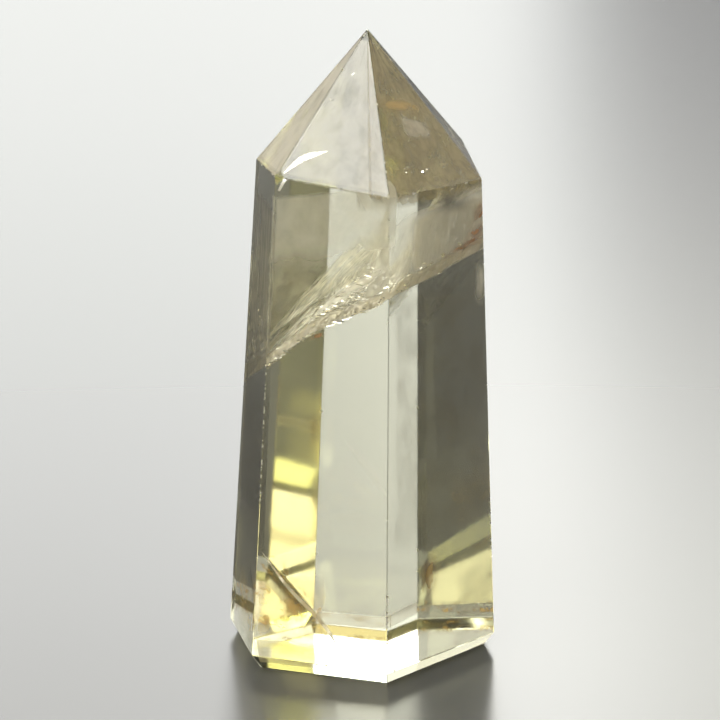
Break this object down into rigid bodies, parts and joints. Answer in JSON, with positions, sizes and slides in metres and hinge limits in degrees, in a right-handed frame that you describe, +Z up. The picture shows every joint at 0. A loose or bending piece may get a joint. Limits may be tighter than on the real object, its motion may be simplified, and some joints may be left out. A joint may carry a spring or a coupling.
{
  "type": "crystal point",
  "caption": "Polished crystal tower of clear, pale yellow quartz: a tapered six-sided prism with a pointed, six-faced tip and a bevelled flat foot, which stands on its own.",
  "frame": {"origin": "on the middle of the flat foot, at the level of the surface that the crystal stands on", "axes": "+Z up towards the tip; -Y towards the side that shows the two widest front faces; +X to that view's right"},
  "size_m": [0.0331, 0.0322, 0.08],
  "materials": {
    "citrine": "polished, clear, see-through"
  },
  "bodies": {
    "root": {"crystal_point": "citrine"}
  },
  "joints": []
}
